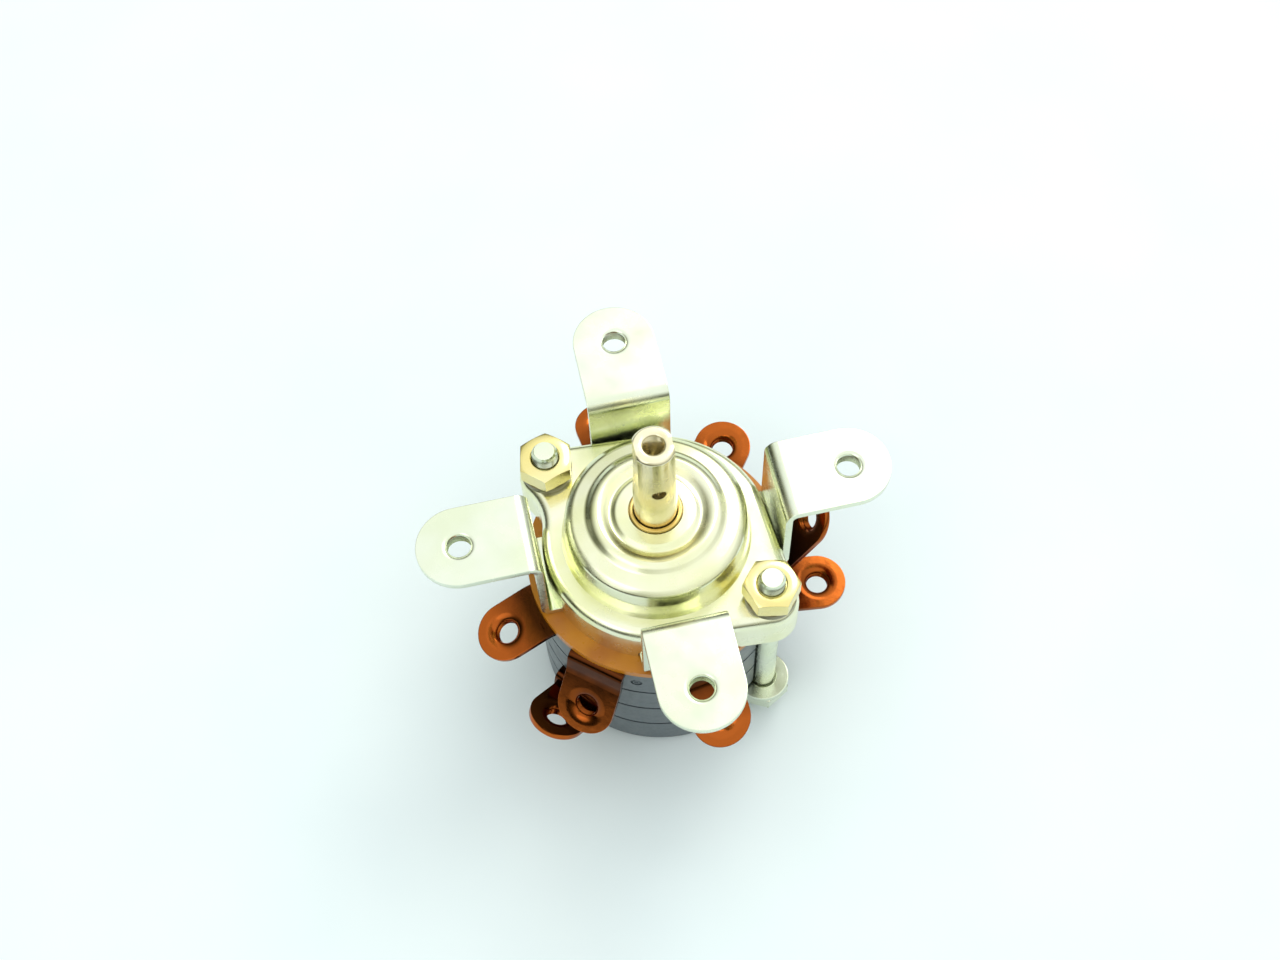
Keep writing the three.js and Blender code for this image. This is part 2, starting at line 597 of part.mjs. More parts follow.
function terminal({ angle, knee = 0, kneeSlope = 0, slope, reach }, top) {
  const root = stripParts(0, top - LUG_SHEET, top, TONGUE_END_RADIUS + CLEAR,
    lugBendRadius);
  const bend = LUG_SHEET / 2;
  const [x, z] = [lugBendRadius, top - bend];
  const kneeX = x + knee * Math.cos(radians(kneeSlope));
  const kneeZ = z - knee * Math.sin(radians(kneeSlope));
  const parts = [bendRoll(bend, x, z)];
  if (knee > 0) {
    parts.push(block(0, knee, -LUG_WIDTH / 2, LUG_WIDTH / 2, -bend, bend)
      .rotate([0, kneeSlope, 0]).translate([x, 0, z]));
    parts.push(bendRoll(bend, kneeX, kneeZ));
  }
  const end = tab(reach).translate([0, 0, bend]).rotate([0, slope, 0]);
  parts.push(end.translate([kneeX, 0, kneeZ]));
  return join(root, ...parts).rotate([0, 0, angle]);
}

for (const deck of DECKS) {
  deck.terminals.forEach((lug) => place(lug.name, terminal(lug, deck.top), copper));
}

// ---------------------------------------------------------------- rotor: hubs, contacts, springs

function rotorDeck({ bottom, top, terminals }, number) {
  const hubBottom = bottom + WAFER_FLOOR + CLEAR;
  const flange = hubBottom + HUB_FLANGE_THICKNESS;
  const bladeTop = top - LUG_SHEET - SLOT_SIDE;
  const bladeBottom = bladeTop - CONTACT_SHEET;
  place(`rotor_hub_${number}`, cut(
    join(cylinder(HUB_FLANGE_RADIUS, hubBottom, flange),
      cylinder(HUB_RADIUS, hubBottom, top - CLEAR)),
    keyedHole(bottom, top + PAST)), phenolicBlack);

  const half = CONTACT_ARM_WIDTH / 2;
  const arms = [terminals[0], terminals[terminals.length - 1]].map(({ angle }) =>
    block(CONTACT_ARM_ROOT, cavityRadius - 2 * CLEAR, -half, half, bladeBottom, bladeTop)
      .rotate([0, 0, angle]));
  place(`moving_contact_${number}`, cut(
    join(cylinder(CONTACT_RING_RADIUS, bladeBottom, bladeTop), ...arms),
    cylinder(CONTACT_BORE_RADIUS, bladeBottom - PAST, bladeTop + PAST)), copper);

  const { wire, turns } = CONTACT_SPRING;
  const pitch = (bladeBottom - flange - 2 * wire - 2 * HAIRLINE) / turns;
  place(`contact_spring_${number}`,
    coil({ ...CONTACT_SPRING, bottom: flange + HAIRLINE, pitch }), springSteel);
}

DECKS.forEach((deck, i) => rotorDeck(deck, i + 1));

// ---------------------------------------------------------------- detent

function indexRing() {
  const notches = Array.from({ length: DETENTS }, (_, i) =>
    cylinder(ballRadius + SLOT_SIDE, crossTop - PAST, ringTop + PAST,
      polar(ballSeat + DETENT_TRAVEL, 360 / DETENTS * i), 14));
  const half = INDEX_KEY_WIDTH / 2;
  const keys = Object.values(STUD_ANGLES).map((degrees) =>
    block(ringOuter - PAST, studCircleRadius - INDEX_KEY_BACK, -half, half, crossTop, ringTop)
      .rotate([0, 0, degrees]));
  return cut(join(cylinder(ringOuter, crossTop, ringTop, [0, 0], 40), ...keys),
    cylinder(landRadius, crossTop - PAST, ringTop + PAST, [0, 0], 40), ...notches);
}

const carrierTop = ringTop + CLEAR;
const springSeat = SHAFT_RADIUS + CARRIER_HUB_WALL;

function ballCarrier() {
  const boreRadius = ballRadius + BALL_CLEARANCE;
  const bore = solid(new THREE.CylinderGeometry(boreRadius, boreRadius, landRadius, 20)
    .rotateZ(Math.PI / 2)).translate([springSeat + landRadius / 2, 0, ballHeight]);
  return cut(
    join(cylinder(landRadius - 2 * CLEAR, crossTop + CLEAR, carrierTop, [0, 0], 32),
      cylinder(springSeat, carrierTop - HAIRLINE, dogTop - DOG_SHEET - CLEAR)),
    bore, bore.rotate([0, 0, 180]), keyedHole(crossTop, dogTop));
}

place('index_ring', indexRing(), steel);
place('ball_carrier', ballCarrier(), phenolicBlack);

for (const [name, turn] of [['a', 0], ['b', 180]]) {
  const ball = solid(new THREE.SphereGeometry(ballRadius, 12, 8));
  place(`detent_ball_${name}`,
    ball.translate([ballSeat, 0, ballHeight]).rotate([0, 0, turn]), steel);
  const { wire, turns } = DETENT_SPRING;
  const length = ballSeat - ballRadius - springSeat - 2 * HAIRLINE;
  const spring = coil({ ...DETENT_SPRING, bottom: 0, pitch: (length - 2 * wire) / turns });
  place(`detent_spring_${name}`, spring.rotate([0, 90, 0])
    .translate([springSeat + HAIRLINE, 0, ballHeight]).rotate([0, 0, turn]), springSteel);
}

function driveDog() {
  const { inner, outer, width } = DOG_FINGER;
  const finger = block(inner, outer, -width / 2, width / 2, carrierTop + CLEAR, dogTop - HAIRLINE);
  return cut(
    join(cylinder(DOG_RADIUS, dogTop - DOG_SHEET, dogTop), finger, finger.rotate([0, 0, 180])),
    keyedHole(carrierTop, dogTop + PAST));
}

place('drive_dog', driveDog(), steel);

const snapRoom = dogTop - DOG_SHEET - carrierTop - 2 * HAIRLINE - 2 * SNAP_SPRING.wire;
place('snap_spring', coil({
  ...SNAP_SPRING, bottom: carrierTop + HAIRLINE, pitch: snapRoom / SNAP_SPRING.turns,
}), springSteel);

export default assembly;
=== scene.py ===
# %% [markdown]
# # A rotary power switch, built piece by piece
# A stack of moulded decks is clamped between a punched end strap and a pressed cover. Copper
# terminals stick out of the decks, and a steel shaft turns the contacts inside. The mechanism
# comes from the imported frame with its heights, and this lesson makes the surfaces on top of it.

import json
import math

import bmesh
import bpy
from mathutils import Matrix, Vector


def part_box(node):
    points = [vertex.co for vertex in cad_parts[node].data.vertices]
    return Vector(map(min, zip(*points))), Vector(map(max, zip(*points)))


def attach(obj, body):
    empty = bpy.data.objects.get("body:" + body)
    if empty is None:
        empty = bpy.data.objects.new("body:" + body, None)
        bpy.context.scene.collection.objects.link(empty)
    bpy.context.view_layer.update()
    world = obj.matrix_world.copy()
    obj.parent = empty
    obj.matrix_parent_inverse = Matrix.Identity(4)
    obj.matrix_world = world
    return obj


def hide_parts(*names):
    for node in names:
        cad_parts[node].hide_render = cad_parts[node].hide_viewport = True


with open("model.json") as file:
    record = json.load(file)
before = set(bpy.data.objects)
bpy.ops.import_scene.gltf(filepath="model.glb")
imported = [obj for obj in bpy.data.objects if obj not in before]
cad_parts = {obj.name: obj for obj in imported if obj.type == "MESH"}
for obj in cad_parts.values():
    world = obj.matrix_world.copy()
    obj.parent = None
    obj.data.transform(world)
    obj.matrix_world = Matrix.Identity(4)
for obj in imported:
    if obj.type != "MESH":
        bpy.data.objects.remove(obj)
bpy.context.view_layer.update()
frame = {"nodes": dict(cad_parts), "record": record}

# %% [markdown]
# ## Units and heights
# The frame is in metres, but a switch is drawn in millimetres, so every size here is in
# millimetres and is turned to metres where a Blender tool takes it. Heights are read from the
# frame, so a piece always meets its neighbours.

# %% Sizes
MM = 0.001


def low(node):
    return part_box(node)[0].z / MM


def high(node):
    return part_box(node)[1].z / MM


PLATE_LOW, PLATE_TOP = low("insulating_plate"), high("insulating_plate")
PLATE_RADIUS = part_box("insulating_plate")[1].x / MM
WAFER_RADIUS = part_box("wafer_1")[1].x / MM
EAR_TOP = high("mounting_frame")
EAR_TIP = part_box("mounting_frame")[1].x / MM
SHAFT_TIP = high("shaft")
NUT_LOW, NUT_TOP = low("hex_nut_left"), high("hex_nut_left")
STUD_TIP = high("stud_bolt_left")
HEAD_LOW = low("stud_bolt_left")
DOME_TOP = high("detent_cover")
FLANGE_TOP = low("spring_washer_left")

STUD_CIRCLE = 18.55
STUD_ANGLES = {"left": 135, "right": -45}
SHAFT_RADIUS = 3.0
CLEAR = 0.3  # between pieces that pass each other
SLOT_SIDE = 0.2  # on each side of a strip in its slot
RUNNING = 0.1  # between pieces that just pass
PAST = 1  # how far a cutting tool reaches beyond what it cuts
print("flange at", round(FLANGE_TOP, 2), "mm, ears at", round(EAR_TOP, 2), "mm")

# %% [markdown]
# ## Small tools
# Blender's operators act on whatever is selected, and loading the frame leaves its nodes
# selected, so each tool starts by clearing the selection. A modifier is applied at once, because
# a finished piece is kept as a plain mesh.


# %% Selecting and applying
def only(piece):
    """Makes one object the selected and active one."""
    bpy.ops.object.select_all(action="DESELECT")
    piece.select_set(True)
    bpy.context.view_layer.objects.active = piece
    return piece


def settle(piece):
    """Moves a piece's place, turn and size into its mesh."""
    only(piece)
    bpy.ops.object.transform_apply(location=True, rotation=True, scale=True)
    return piece


def modify(piece, kind, **settings):
    """Adds one modifier and applies it."""
    only(piece)
    modifier = piece.modifiers.new(kind.title(), kind)
    for name, value in settings.items():
        setattr(modifier, name, value)
    bpy.ops.object.modifier_apply(modifier=modifier.name)
    return piece


def soften(piece, width, segments=2, angle=40):
    """Rounds the sharp edges, as tumbling or a moulding tool leaves them."""
    return modify(piece, "BEVEL", width=width * MM, segments=segments, limit_method="ANGLE",
                  angle_limit=math.radians(angle), use_clamp_overlap=True)


def combine(piece, tool, operation):
    """Cuts the tool out of a piece, joins it on, or keeps only what both share."""
    modify(piece, "BOOLEAN", object=tool, operation=operation, solver="EXACT")
    bpy.data.objects.remove(tool)
    return piece


# %% [markdown]
# ## Starting shapes
# A turned bar, a box and a lathe outline cover most of this switch. The lathe starts from one
# point, extrudes it along half of the section, and spins that line about the shaft's axis, which
# is how the real pieces are turned or drawn.


# %% Starting shapes
def bar(radius, bottom, top, centre=(0, 0), sides=96):
    bpy.ops.object.select_all(action="DESELECT")
    bpy.ops.mesh.primitive_cylinder_add(
        vertices=sides, radius=radius * MM, depth=(top - bottom) * MM,
        location=(centre[0] * MM, centre[1] * MM, (bottom + top) / 2 * MM))
    return settle(bpy.context.active_object)


def box(x, y, z):
    """A box from its lowest and highest x, y and z."""
    bpy.ops.object.select_all(action="DESELECT")
    middle = [(side[0] + side[1]) / 2 * MM for side in (x, y, z)]
    bpy.ops.mesh.primitive_cube_add(size=MM, location=middle)
    piece = bpy.context.active_object
    piece.scale = [side[1] - side[0] for side in (x, y, z)]
    return settle(piece)


def line(points, bends=()):
    """A chain of edges through (x, z) points; bends gives the radius cut at some corners."""
    bpy.ops.object.select_all(action="DESELECT")
    bpy.ops.mesh.primitive_plane_add(size=MM)
    piece = bpy.context.active_object
    bpy.ops.object.mode_set(mode="EDIT")
    bpy.ops.mesh.select_mode(type="VERT")
    bpy.ops.mesh.select_all(action="SELECT")
    bpy.ops.mesh.merge(type="CENTER")
    bpy.ops.transform.translate(value=(points[0][0] * MM, 0, points[0][1] * MM))
    for before, after in zip(points, points[1:]):
        step = ((after[0] - before[0]) * MM, 0, (after[1] - before[1]) * MM)
        bpy.ops.mesh.extrude_region_move(TRANSFORM_OT_translate={"value": step})
    for corner, radius, segments in bends:
        place = Vector((points[corner][0] * MM, 0, points[corner][1] * MM))
        select(piece, lambda v: (v.co - place).length < 1e-7, "verts")
        bpy.ops.mesh.bevel(offset=radius * MM, segments=segments, affect="VERTICES")
    return piece


def select(piece, wanted, kind):
    """Selects the vertices, edges or faces for which wanted says yes, in edit mode."""
    mode = {"verts": "VERT", "edges": "EDGE", "faces": "FACE"}[kind]
    bpy.ops.mesh.select_mode(type=mode)
    bpy.ops.mesh.select_all(action="DESELECT")
    mesh = bmesh.from_edit_mesh(piece.data)
    for element in getattr(mesh, kind):
        element.select_set(bool(wanted(element)))
    mesh.select_flush_mode()
    bmesh.update_edit_mesh(piece.data)


def lathe(points, bends=(), steps=96):
    """Spins the chain of (radius, height) points once about the shaft's axis."""
    piece = line(points, bends)
    bpy.ops.mesh.select_all(action="SELECT")
    bpy.ops.mesh.spin(steps=steps, angle=2 * math.pi, center=(0, 0, 0), axis=(0, 0, 1))
    bpy.ops.mesh.select_all(action="SELECT")
    bpy.ops.mesh.remove_doubles(threshold=1e-6)
    bpy.ops.mesh.dissolve_degenerate(threshold=1e-7)
    bpy.ops.mesh.normals_make_consistent(inside=False)
    bpy.ops.object.mode_set(mode="OBJECT")
    return piece


# %% [markdown]
# ## A tapped hole
# The ears and terminals are too thin to hold a thread, so each hole is punched through and drawn
# down into a collar, which gives it a rounded mouth, and the thread is cut in the collar. The
# tool below is that hole as a solid: grooves one pitch apart, then the flare of the mouth. Rings
# stand in for the helix, because at this size nobody can tell them apart.


# %% A tapped hole as a cutting tool
def thread(minor, major, bottom, top, pitch):
    """The half section of a thread, as (radius, height) points from bottom to top."""
    turns = max(1, round((top - bottom) / pitch))
    points = []
    for turn in range(turns):
        foot = bottom + turn * pitch
        points += [(minor, foot), (major, foot + pitch / 2)]
    return points + [(minor, bottom + turns * pitch)]


def hole_tool(minor, major, mouth, flare, depth, pitch, steps=64):
    """A threaded hole whose mouth opens at height 0 and whose bottom is depth below it."""
    flare_arc = [(minor + (mouth - minor) * (1 - math.cos(a)), -flare * (1 - math.sin(a)))
                 for a in (math.radians(d) for d in (0, 20, 40, 60, 75, 90))]
    grooves = thread(minor, major, -depth, -flare, pitch)
    return lathe([(0, -depth - 1), (minor, -depth - 1)] + grooves + flare_arc
                 + [(mouth + 0.02, 0.5), (0, 0.5)], steps=steps)


def move(piece, x=0, y=0, z=0, slope=0, turn=0):
    """Tips a piece down by slope about Y, moves it, then turns it about the shaft's axis."""
    piece.rotation_euler = (0, math.radians(slope), 0)
    piece.location = (x * MM, y * MM, z * MM)
    settle(piece)
    piece.rotation_euler = (0, 0, math.radians(turn))
    return settle(piece)


# %% [markdown]
# ## Bent strip
# Ears, terminals and the end strap are all punched from flat strip and folded. The fold line is
# drawn from the side, its corners are cut to the bend radius, the line is drawn out to the
# strip's width, the end is rounded, and the sheet gets its thickness last.


# %% Bent strip
def strip(points, bends, width, thickness, offset, round_ends):
    """A folded strip along +X. offset -1, 0 or 1 puts the sheet below, about or above the line."""
    piece = line(points, bends)
    bpy.ops.mesh.select_all(action="SELECT")
    bpy.ops.transform.translate(value=(0, -width / 2 * MM, 0))
    bpy.ops.mesh.extrude_region_move(TRANSFORM_OT_translate={"value": (0, width * MM, 0)})
    for end in round_ends:
        tip = points[-1 if end > 0 else 0][0] * MM
        select(piece, lambda v: abs(v.co.x - tip) < 1e-6 and len(v.link_edges) == 2
               and abs(abs(v.co.y) - width / 2 * MM) < 1e-6, "verts")
        bpy.ops.mesh.bevel(offset=width * 0.4995 * MM, segments=20, affect="VERTICES")
    bpy.ops.mesh.select_all(action="SELECT")
    bpy.ops.mesh.remove_doubles(threshold=1e-6)
    bpy.ops.mesh.normals_make_consistent(inside=False)
    mesh = bmesh.from_edit_mesh(piece.data)
    upward = sum(f.normal.z * f.calc_area() for f in mesh.faces)
    if upward < 0:
        bpy.ops.mesh.flip_normals()
    bpy.ops.object.mode_set(mode="OBJECT")
    return modify(piece, "SOLIDIFY", thickness=thickness * MM, offset=offset,
                  use_even_offset=True)


# %% [markdown]
# ## Colours and the one node helper
# Colours are picked as sRGB hex values, as from a chart, and turned to linear light once. Every
# pattern's scale is one over a real length in metres, because Object coordinates are metres.


# %% Node helper
def linear(code):
    parts = [int(code[i:i + 2], 16) / 255 for i in (1, 3, 5)]
    return [c / 12.92 if c <= 0.04045 else ((c + 0.055) / 1.055) ** 2.4 for c in parts] + [1]


def add(tree, kind, values=None, links=None, **settings):
    """Adds a node, sets its properties and input values, and links its inputs."""
    node = tree.nodes.new(kind)
    for name, value in settings.items():
        setattr(node, name, value)
    for name, value in (values or {}).items():
        node.inputs[name].default_value = value
    for name, socket in (links or {}).items():
        tree.links.new(socket, node.inputs[name])
    return node


def start_material(name, **values):
    """A new material with its shader, its output and the Object coordinates."""
    material = bpy.data.materials.new(name)
    material.use_nodes = True
    tree = material.node_tree
    tree.nodes.clear()
    shader = add(tree, "ShaderNodeBsdfPrincipled",
                 {key.replace("_", " "): value for key, value in values.items()})
    add(tree, "ShaderNodeOutputMaterial", links={"Surface": shader.outputs["BSDF"]})
    where = add(tree, "ShaderNodeTexCoord").outputs["Object"]
    return material, tree, shader, where


def noise(tree, where, length, detail=3.0, stretch=(1, 1, 1)):
    """Noise whose patches are about length millimetres across."""
    mapped = add(tree, "ShaderNodeMapping", {"Scale": stretch}, {"Vector": where})
    return add(tree, "ShaderNodeTexNoise", {"Scale": 1 / (length * MM), "Detail": detail},
               {"Vector": mapped.outputs["Vector"]}).outputs["Fac"]


def two_tone(tree, shader, factor, first, second, low_end=0.35, high_end=0.65):
    """Base colour that runs from one hex colour to another with the factor."""
    ramp = add(tree, "ShaderNodeValToRGB", links={"Fac": factor})
    ramp.color_ramp.elements[0].position, ramp.color_ramp.elements[1].position = low_end, high_end
    ramp.color_ramp.elements[0].color = linear(first)
    ramp.color_ramp.elements[1].color = linear(second)
    tree.links.new(ramp.outputs["Color"], shader.inputs["Base Color"])


def vary_roughness(tree, shader, factor, smooth, rough):
    span = add(tree, "ShaderNodeMapRange",
               {"From Min": 0.3, "From Max": 0.7, "To Min": smooth, "To Max": rough},
               {"Value": factor})
    tree.links.new(span.outputs["Result"], shader.inputs["Roughness"])


def emboss(tree, shader, factor, height):
    """Relief of the given height in millimetres."""
    bump = add(tree, "ShaderNodeBump", {"Strength": 1.0, "Distance": height * MM},
               {"Height": factor})
    tree.links.new(bump.outputs["Normal"], shader.inputs["Normal"])


# %% [markdown]
# ## Plated metals
# The cover, frame, strap and bolts are mild steel, zinc plated and dipped in a thin chromate
# passivate. The film leaves the bright zinc with a pale yellow-green cast that drifts over
# centimetres, and rolling marks in the sheet blur reflections in one direction. The nuts have a
# thicker, golden film. The shaft is turned, so its marks run round it.


# %% Plated metals
def plated(name, first, second, smooth, rough):
    material, tree, shader, where = start_material(name, Metallic=1.0)
    two_tone(tree, shader, noise(tree, where, 9.0), first, second)
    vary_roughness(tree, shader, noise(tree, where, 3.0, 5.0), smooth, rough)
    emboss(tree, shader, noise(tree, where, 0.6, 4.0, (1, 1, 3)), 0.002)
    return material


zinc_passivate = plated("zinc_plate_clear_passivate", "#E5EAD8", "#DEE5C9", 0.18, 0.32)
zinc_yellow = plated("zinc_plate_yellow_passivate", "#EEEED2", "#E6E7B8", 0.17, 0.30)
zinc_golden = plated("zinc_plate_golden_chromate", "#F3E7AC", "#ECDC90", 0.16, 0.30)
spring_steel = plated("oiled_spring_steel", "#8A846A", "#6A6656", 0.28, 0.42)

turned_steel, tree, shader, where = start_material("turned_steel_zinc_flash", Metallic=1.0)
two_tone(tree, shader, noise(tree, where, 6.0), "#F3EACB", "#EADFB6")
vary_roughness(tree, shader, noise(tree, where, 1.2, 4.0), 0.16, 0.28)
TOOL_FEED = 0.35  # the turning tool's feed is about 0.1 mm; drawn coarser, so that it shows
emboss(tree, shader, noise(tree, where, TOOL_FEED, 2.0, (0.05, 0.05, 1.0)), 0.004)

# %% [markdown]
# ## Copper and brass
# The terminals are bright pressed copper. Their colour carries painted shade and a painted
# highlight:
# a dark brown near the decks stands in for the dark surroundings the copper reflects there, and a
# bright orange further out stands in for a bright reflection. The colour runs outward from the
# shaft's axis, with some noise on top, so that the change is in patches. The bush is plain turned
# brass.

# %% Copper and brass
# Painted shade is darkest at the first distance and the painted highlight brightest at the second.
DARKEST_AT, BRIGHTEST_AT = 19.5, 27  # distances from the axis, in millimetres
copper, tree, shader, where = start_material("bright_pressed_copper", Metallic=1.0)
flat_place = add(tree, "ShaderNodeVectorMath", {1: (1, 1, 0)}, {0: where}, operation="MULTIPLY")
from_axis = add(tree, "ShaderNodeVectorMath", links={0: flat_place.outputs["Vector"]},
                operation="LENGTH")
# This ramp outward from the axis is painted shade near the decks and a painted highlight further
# out.
outward = add(tree, "ShaderNodeMapRange",
              {"From Min": DARKEST_AT * MM, "From Max": BRIGHTEST_AT * MM,
               "To Min": -0.2, "To Max": 0.75},
              {"Value": from_axis.outputs["Value"]})
worn = add(tree, "ShaderNodeMath", {1: 0.5}, {0: noise(tree, where, 4.0, 4.0)},
           operation="MULTIPLY")
painted_shade_and_patches = add(tree, "ShaderNodeMath", links={0: outward.outputs["Result"],
                                            1: worn.outputs["Value"]}, operation="ADD")
# The dark brown end is painted shade and the bright orange end a painted highlight, with random
# patches from the noise.
two_tone(tree, shader, painted_shade_and_patches.outputs["Value"], "#4A240E", "#B05A22", 0.1, 0.85)
vary_roughness(tree, shader, noise(tree, where, 1.5, 5.0), 0.10, 0.24)
emboss(tree, shader, noise(tree, where, 0.9, 4.0), 0.008)

brass = plated("turned_brass", "#E8CE8C", "#D8B868", 0.2, 0.34)

# %% [markdown]
# ## Moulded and laminated phenolics
# The decks are moulded from a mineral-filled phenolic, slate grey and satin, with pale specks of
# filler. The plate under the cover is punched from resin-bonded sheet: warm orange brown, with
# its layers showing as bands at the edge. Neither is a metal, so their gloss is the shader's.

# %% Phenolics
slate_phenolic, tree, shader, where = start_material(
    "moulded_slate_phenolic", Metallic=0.0, IOR=1.6)
two_tone(tree, shader, noise(tree, where, 0.5, 6.0), "#51595E", "#646D73", 0.3, 0.75)
vary_roughness(tree, shader, noise(tree, where, 2.0, 4.0), 0.28, 0.42)
emboss(tree, shader, noise(tree, where, 0.25, 3.0), 0.008)

laminate_phenolic, tree, shader, where = start_material(
    "punched_laminate_phenolic", Metallic=0.0, IOR=1.5)
LAYER = 0.12  # one sheet of the laminate, in millimetres
layers = noise(tree, where, LAYER, 2.0, (0.02, 0.02, 1.0))
two_tone(tree, shader, layers, "#B46602", "#CC8006", 0.35, 0.6)
vary_roughness(tree, shader, noise(tree, where, 1.5, 5.0), 0.25, 0.4)
emboss(tree, shader, noise(tree, where, 0.4, 4.0), 0.006)

black_phenolic, tree, shader, where = start_material(
    "moulded_black_phenolic", Metallic=0.0, IOR=1.6)
two_tone(tree, shader, noise(tree, where, 0.6, 5.0), "#1E1B19", "#2C2826")
vary_roughness(tree, shader, noise(tree, where, 2.0, 4.0), 0.3, 0.45)
emboss(tree, shader, noise(tree, where, 0.3, 3.0), 0.006)

# %% [markdown]
# ## Finishing a piece
# Each finished piece is shaded smooth across its curves and sharp at its edges, gets its
# material, rides on its body, and stands for its CAD node, which stays hidden for collision.


# %% Finish a piece
def finish(piece, name, material, body="root", nodes=(), angle=32):
    only(piece)
    bpy.ops.object.mode_set(mode="EDIT")
    bpy.ops.mesh.select_all(action="SELECT")
    bpy.ops.mesh.remove_doubles(threshold=2e-7)
    bpy.ops.mesh.dissolve_degenerate(threshold=1e-7)
    bpy.ops.object.mode_set(mode="OBJECT")
    bpy.ops.object.shade_smooth_by_angle(angle=math.radians(angle))
    modify(piece, "WEIGHTED_NORMAL", keep_sharp=True)
    piece.name = piece.data.name = name
    piece.data.materials.clear()
    piece.data.materials.append(material)
    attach(piece, body)
    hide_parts(*nodes)
    print(name, len(piece.data.polygons), "faces")
    return piece


def on_studs(make):
    """One tool at each stud."""
    return [make(STUD_CIRCLE * math.cos(math.radians(a)), STUD_CIRCLE * math.sin(math.radians(a)))
            for a in STUD_ANGLES.values()]


# %% [markdown]
# ## The cover
# The cover is one pressing: a skirt whose outline swells into a lobe round each stud, a flat
# flange, and a dome with a bead and a groove round the shaft. The outline is a chain of arcs: a
# large disc, a small one round each stud, straight flanks between them and one hollow fillet
# at the left-hand stud, where the outline draws in toward the ear. The dome is spun
# and joined on, and the same two shapes, one sheet smaller, are cut out of the inside.


# %% Cover
COVER_RADIUS = 16.2
LOBE_RADIUS = 4.0
NECK_FILLET = 8.0
HOLLOW_STUD = "left"
COVER_SHEET = 1.0
FLANGE_ROUND, FLANGE_ROUND_STEPS = 1.5, 7
BOLT_HOLE = 2.15
# (radius, height over the flange), from the hole for the bush outward
DOME = [(5.5, 6.9), (6.3, 6.3), (7.3, 6.95), (8.1, 7.25), (8.9, 6.95), (9.7, 6.25),
        (11.6, 5.85), (12.55, 5.1), (12.85, 3.2), (13.0, 1.0), (13.3, 0)]


def slab(points, bottom, top):
    """A flat outline of (x, y) points, drawn out into a prism."""
    piece = line([(x, -y) for x, y in points + points[:1]])
    bpy.ops.mesh.select_all(action="SELECT")
    bpy.ops.mesh.remove_doubles(threshold=1e-7)
    bpy.ops.mesh.select_all(action="SELECT")
    bpy.ops.mesh.edge_face_add()
    step = (0, (top - bottom) * MM, 0)
    bpy.ops.mesh.extrude_region_move(TRANSFORM_OT_translate={"value": step})
    bpy.ops.mesh.select_all(action="SELECT")
    bpy.ops.mesh.normals_make_consistent(inside=False)
    bpy.ops.object.mode_set(mode="OBJECT")
    piece.rotation_euler = (math.pi / 2, 0, 0)
    piece.location = (0, 0, bottom * MM)
    return settle(piece)


def arc(centre, radius, start, end, steps):
    """Points along an arc, without the last one."""
    angles = [start + (end - start) * i / steps for i in range(steps)]
    return [(centre[0] + radius * math.cos(a), centre[1] + radius * math.sin(a)) for a in angles]


def lobed_prism(inset, bottom, top):
    """A disc and a small disc at each stud, with straight flanks and one hollow fillet."""
    radius, lobe = COVER_RADIUS - inset, LOBE_RADIUS - inset
    flank = math.acos((radius - lobe) / STUD_CIRCLE)
    neck = NECK_FILLET + inset
    far, near = radius + neck, lobe + neck
    spread = math.acos((far ** 2 + STUD_CIRCLE ** 2 - near ** 2) / (2 * far * STUD_CIRCLE))
    bend = math.acos((far ** 2 + near ** 2 - STUD_CIRCLE ** 2) / (2 * far * near))
    points = []
    for name, degrees in STUD_ANGLES.items():
        stud = math.radians(degrees)
        middle = (STUD_CIRCLE * math.cos(stud), STUD_CIRCLE * math.sin(stud))
        first = stud + flank
        if name == HOLLOW_STUD:
            first = stud + spread
            hollow = (far * math.cos(first), far * math.sin(first))
            points += arc(middle, lobe, stud - flank, first + bend, 24)
            points += arc(hollow, neck, first - math.pi + bend, first - math.pi, 16)
        else:
            points += arc(middle, lobe, stud - flank, first, 24)
        points += arc((0, 0), radius, first, stud + math.pi - flank, 66)
        points += [(radius * math.cos(stud + math.pi - flank),
                    radius * math.sin(stud + math.pi - flank))]
    return slab(points, bottom, top)


def round_rim(piece, height, radius, segments):
    """Rounds the edges that lie at the given height."""
    only(piece)
    bpy.ops.object.mode_set(mode="EDIT")
    select(piece, lambda e: all(abs(v.co.z - height * MM) < 1e-6 for v in e.verts), "edges")
    bpy.ops.mesh.bevel(offset=radius * MM, segments=segments, affect="EDGES")
    bpy.ops.object.mode_set(mode="OBJECT")
    return piece


def dome(inset):
    """The dome as a solid. The inner one is narrower only at its wall, outside radius 12."""
    foot = FLANGE_TOP - 2
    points = [(r - inset * (r > 12), FLANGE_TOP + z - inset) for r, z in DOME]
    outline = [(0, points[0][1])] + points + [(points[-1][0], foot), (0, foot)]
    bends = [(i, 0.3, 3) for i in range(1, len(points))]
    return lathe(outline, bends, steps=160)


